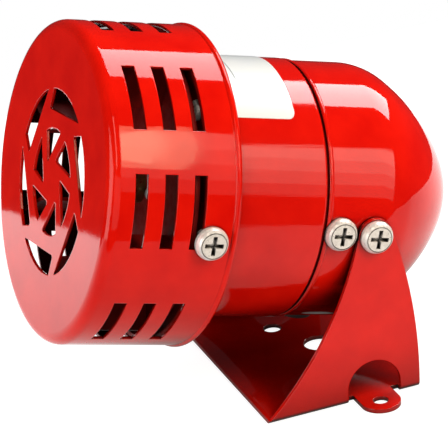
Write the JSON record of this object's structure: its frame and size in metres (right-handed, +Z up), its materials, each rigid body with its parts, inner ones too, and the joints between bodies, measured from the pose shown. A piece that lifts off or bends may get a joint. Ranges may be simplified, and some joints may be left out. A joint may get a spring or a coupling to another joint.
{
  "type": "alarm siren",
  "caption": "Small motor-driven siren: slotted red drum with a swirl grille, motor sleeve and dome, tilting in a U bracket with foot tabs.",
  "frame": {"origin": "midway between the two foot holes, on the bracket's underside", "axes": "+Z up from the mounting surface, -Y the way the drum faces, X along the pivot"},
  "size_m": [0.0902, 0.1194, 0.1071],
  "materials": {
    "red_paint": "gloss red enamel on sheet steel",
    "dark_steel": "dull dark red primer on sheet steel",
    "zinc": "bright zinc plate",
    "label": "gloss white film",
    "black_rubber": "matte black",
    "can_steel": "drawn steel can, passivated",
    "ferrite": "ground ferrite",
    "lamination": "stacked steel laminations",
    "copper": "enamelled copper wire",
    "brass": "turned brass",
    "bronze": "sintered bronze",
    "carbon": "pressed carbon",
    "bakelite": "moulded brown thermoset",
    "nylon": "moulded natural nylon",
    "red_wire": "red wire insulation",
    "rotor_paint": "satin dark red on sheet steel"
  },
  "bodies": {
    "bracket": {"bracket": "red_paint"},
    "head": {"pivot_screws": "zinc", "pivot_nuts": "zinc", "drum_cover": "red_paint", "drum_screws": "zinc", "mounting_plate": "dark_steel", "sleeve_screws": "zinc", "sleeve_nuts": "zinc", "motor_sleeve": "red_paint", "rating_label": "label", "joining_ring": "dark_steel", "dome_cover": "red_paint", "dome_screws": "zinc", "cable_grommet": "black_rubber", "motor_can": "can_steel", "field_magnets": "ferrite", "motor_screws": "zinc", "shaft_bearings": "bronze", "motor_end_cap": "bakelite", "carbon_brushes": "carbon", "brush_springs": "zinc", "motor_terminals": "brass", "terminal_block": "nylon", "terminal_screws": "zinc", "lead_wires": "red_wire"},
    "rotor": {"motor_shaft": "can_steel", "armature_core": "lamination", "armature_windings": "copper", "commutator": "copper", "impeller": "rotor_paint", "impeller_hub": "brass", "impeller_rivets": "zinc", "impeller_nut": "zinc"}
  },
  "joints": [
    {"name": "head_tilt", "type": "hinge", "parent": "bracket", "child": "head", "pos_m": [0, 0.0031, 0.047], "axis": [-1, 0, 0], "range_deg": [-14.6, 75]},
    {"name": "rotor_spin", "type": "hinge", "parent": "head", "child": "rotor", "pos_m": [0, 0.0031, 0.047], "axis": [0, -0.9677, 0.2521], "continuous": true}
  ]
}
